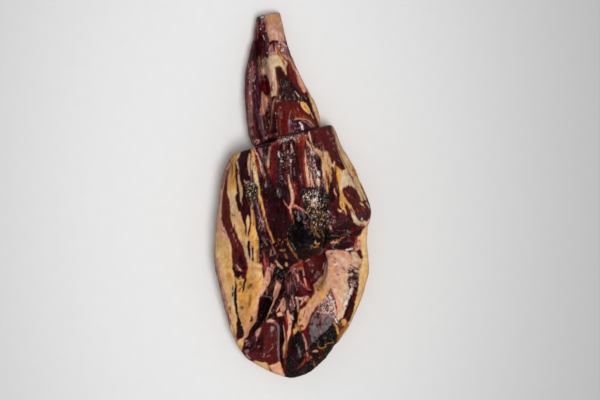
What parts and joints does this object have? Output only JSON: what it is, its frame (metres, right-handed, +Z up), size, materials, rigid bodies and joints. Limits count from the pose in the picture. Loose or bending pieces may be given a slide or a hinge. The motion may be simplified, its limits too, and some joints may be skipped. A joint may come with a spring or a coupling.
{
  "type": "boneless iberian ham",
  "caption": "Whole cured ham with the bone taken out, opened along its underside, with its cut-off shank laid end to end.",
  "frame": {"origin": "centre of the ham's footprint on the surface it lies on", "axes": "+Z up, out of the opened meat side; +Y along the ham towards the shank end; +X to the right seen from above with the shank at the top"},
  "size_m": [0.2403, 0.5603, 0.1039],
  "materials": {
    "cured_meat": "dark red cured meat with cream and amber fat, dark dried crust and an oily sheen",
    "shank_meat": "dark wine-red cured meat with peach fat edges, tan rind on the stump and an oily sheen"
  },
  "bodies": {
    "root": {"ham_body": "cured_meat", "shank": "shank_meat"}
  },
  "joints": []
}
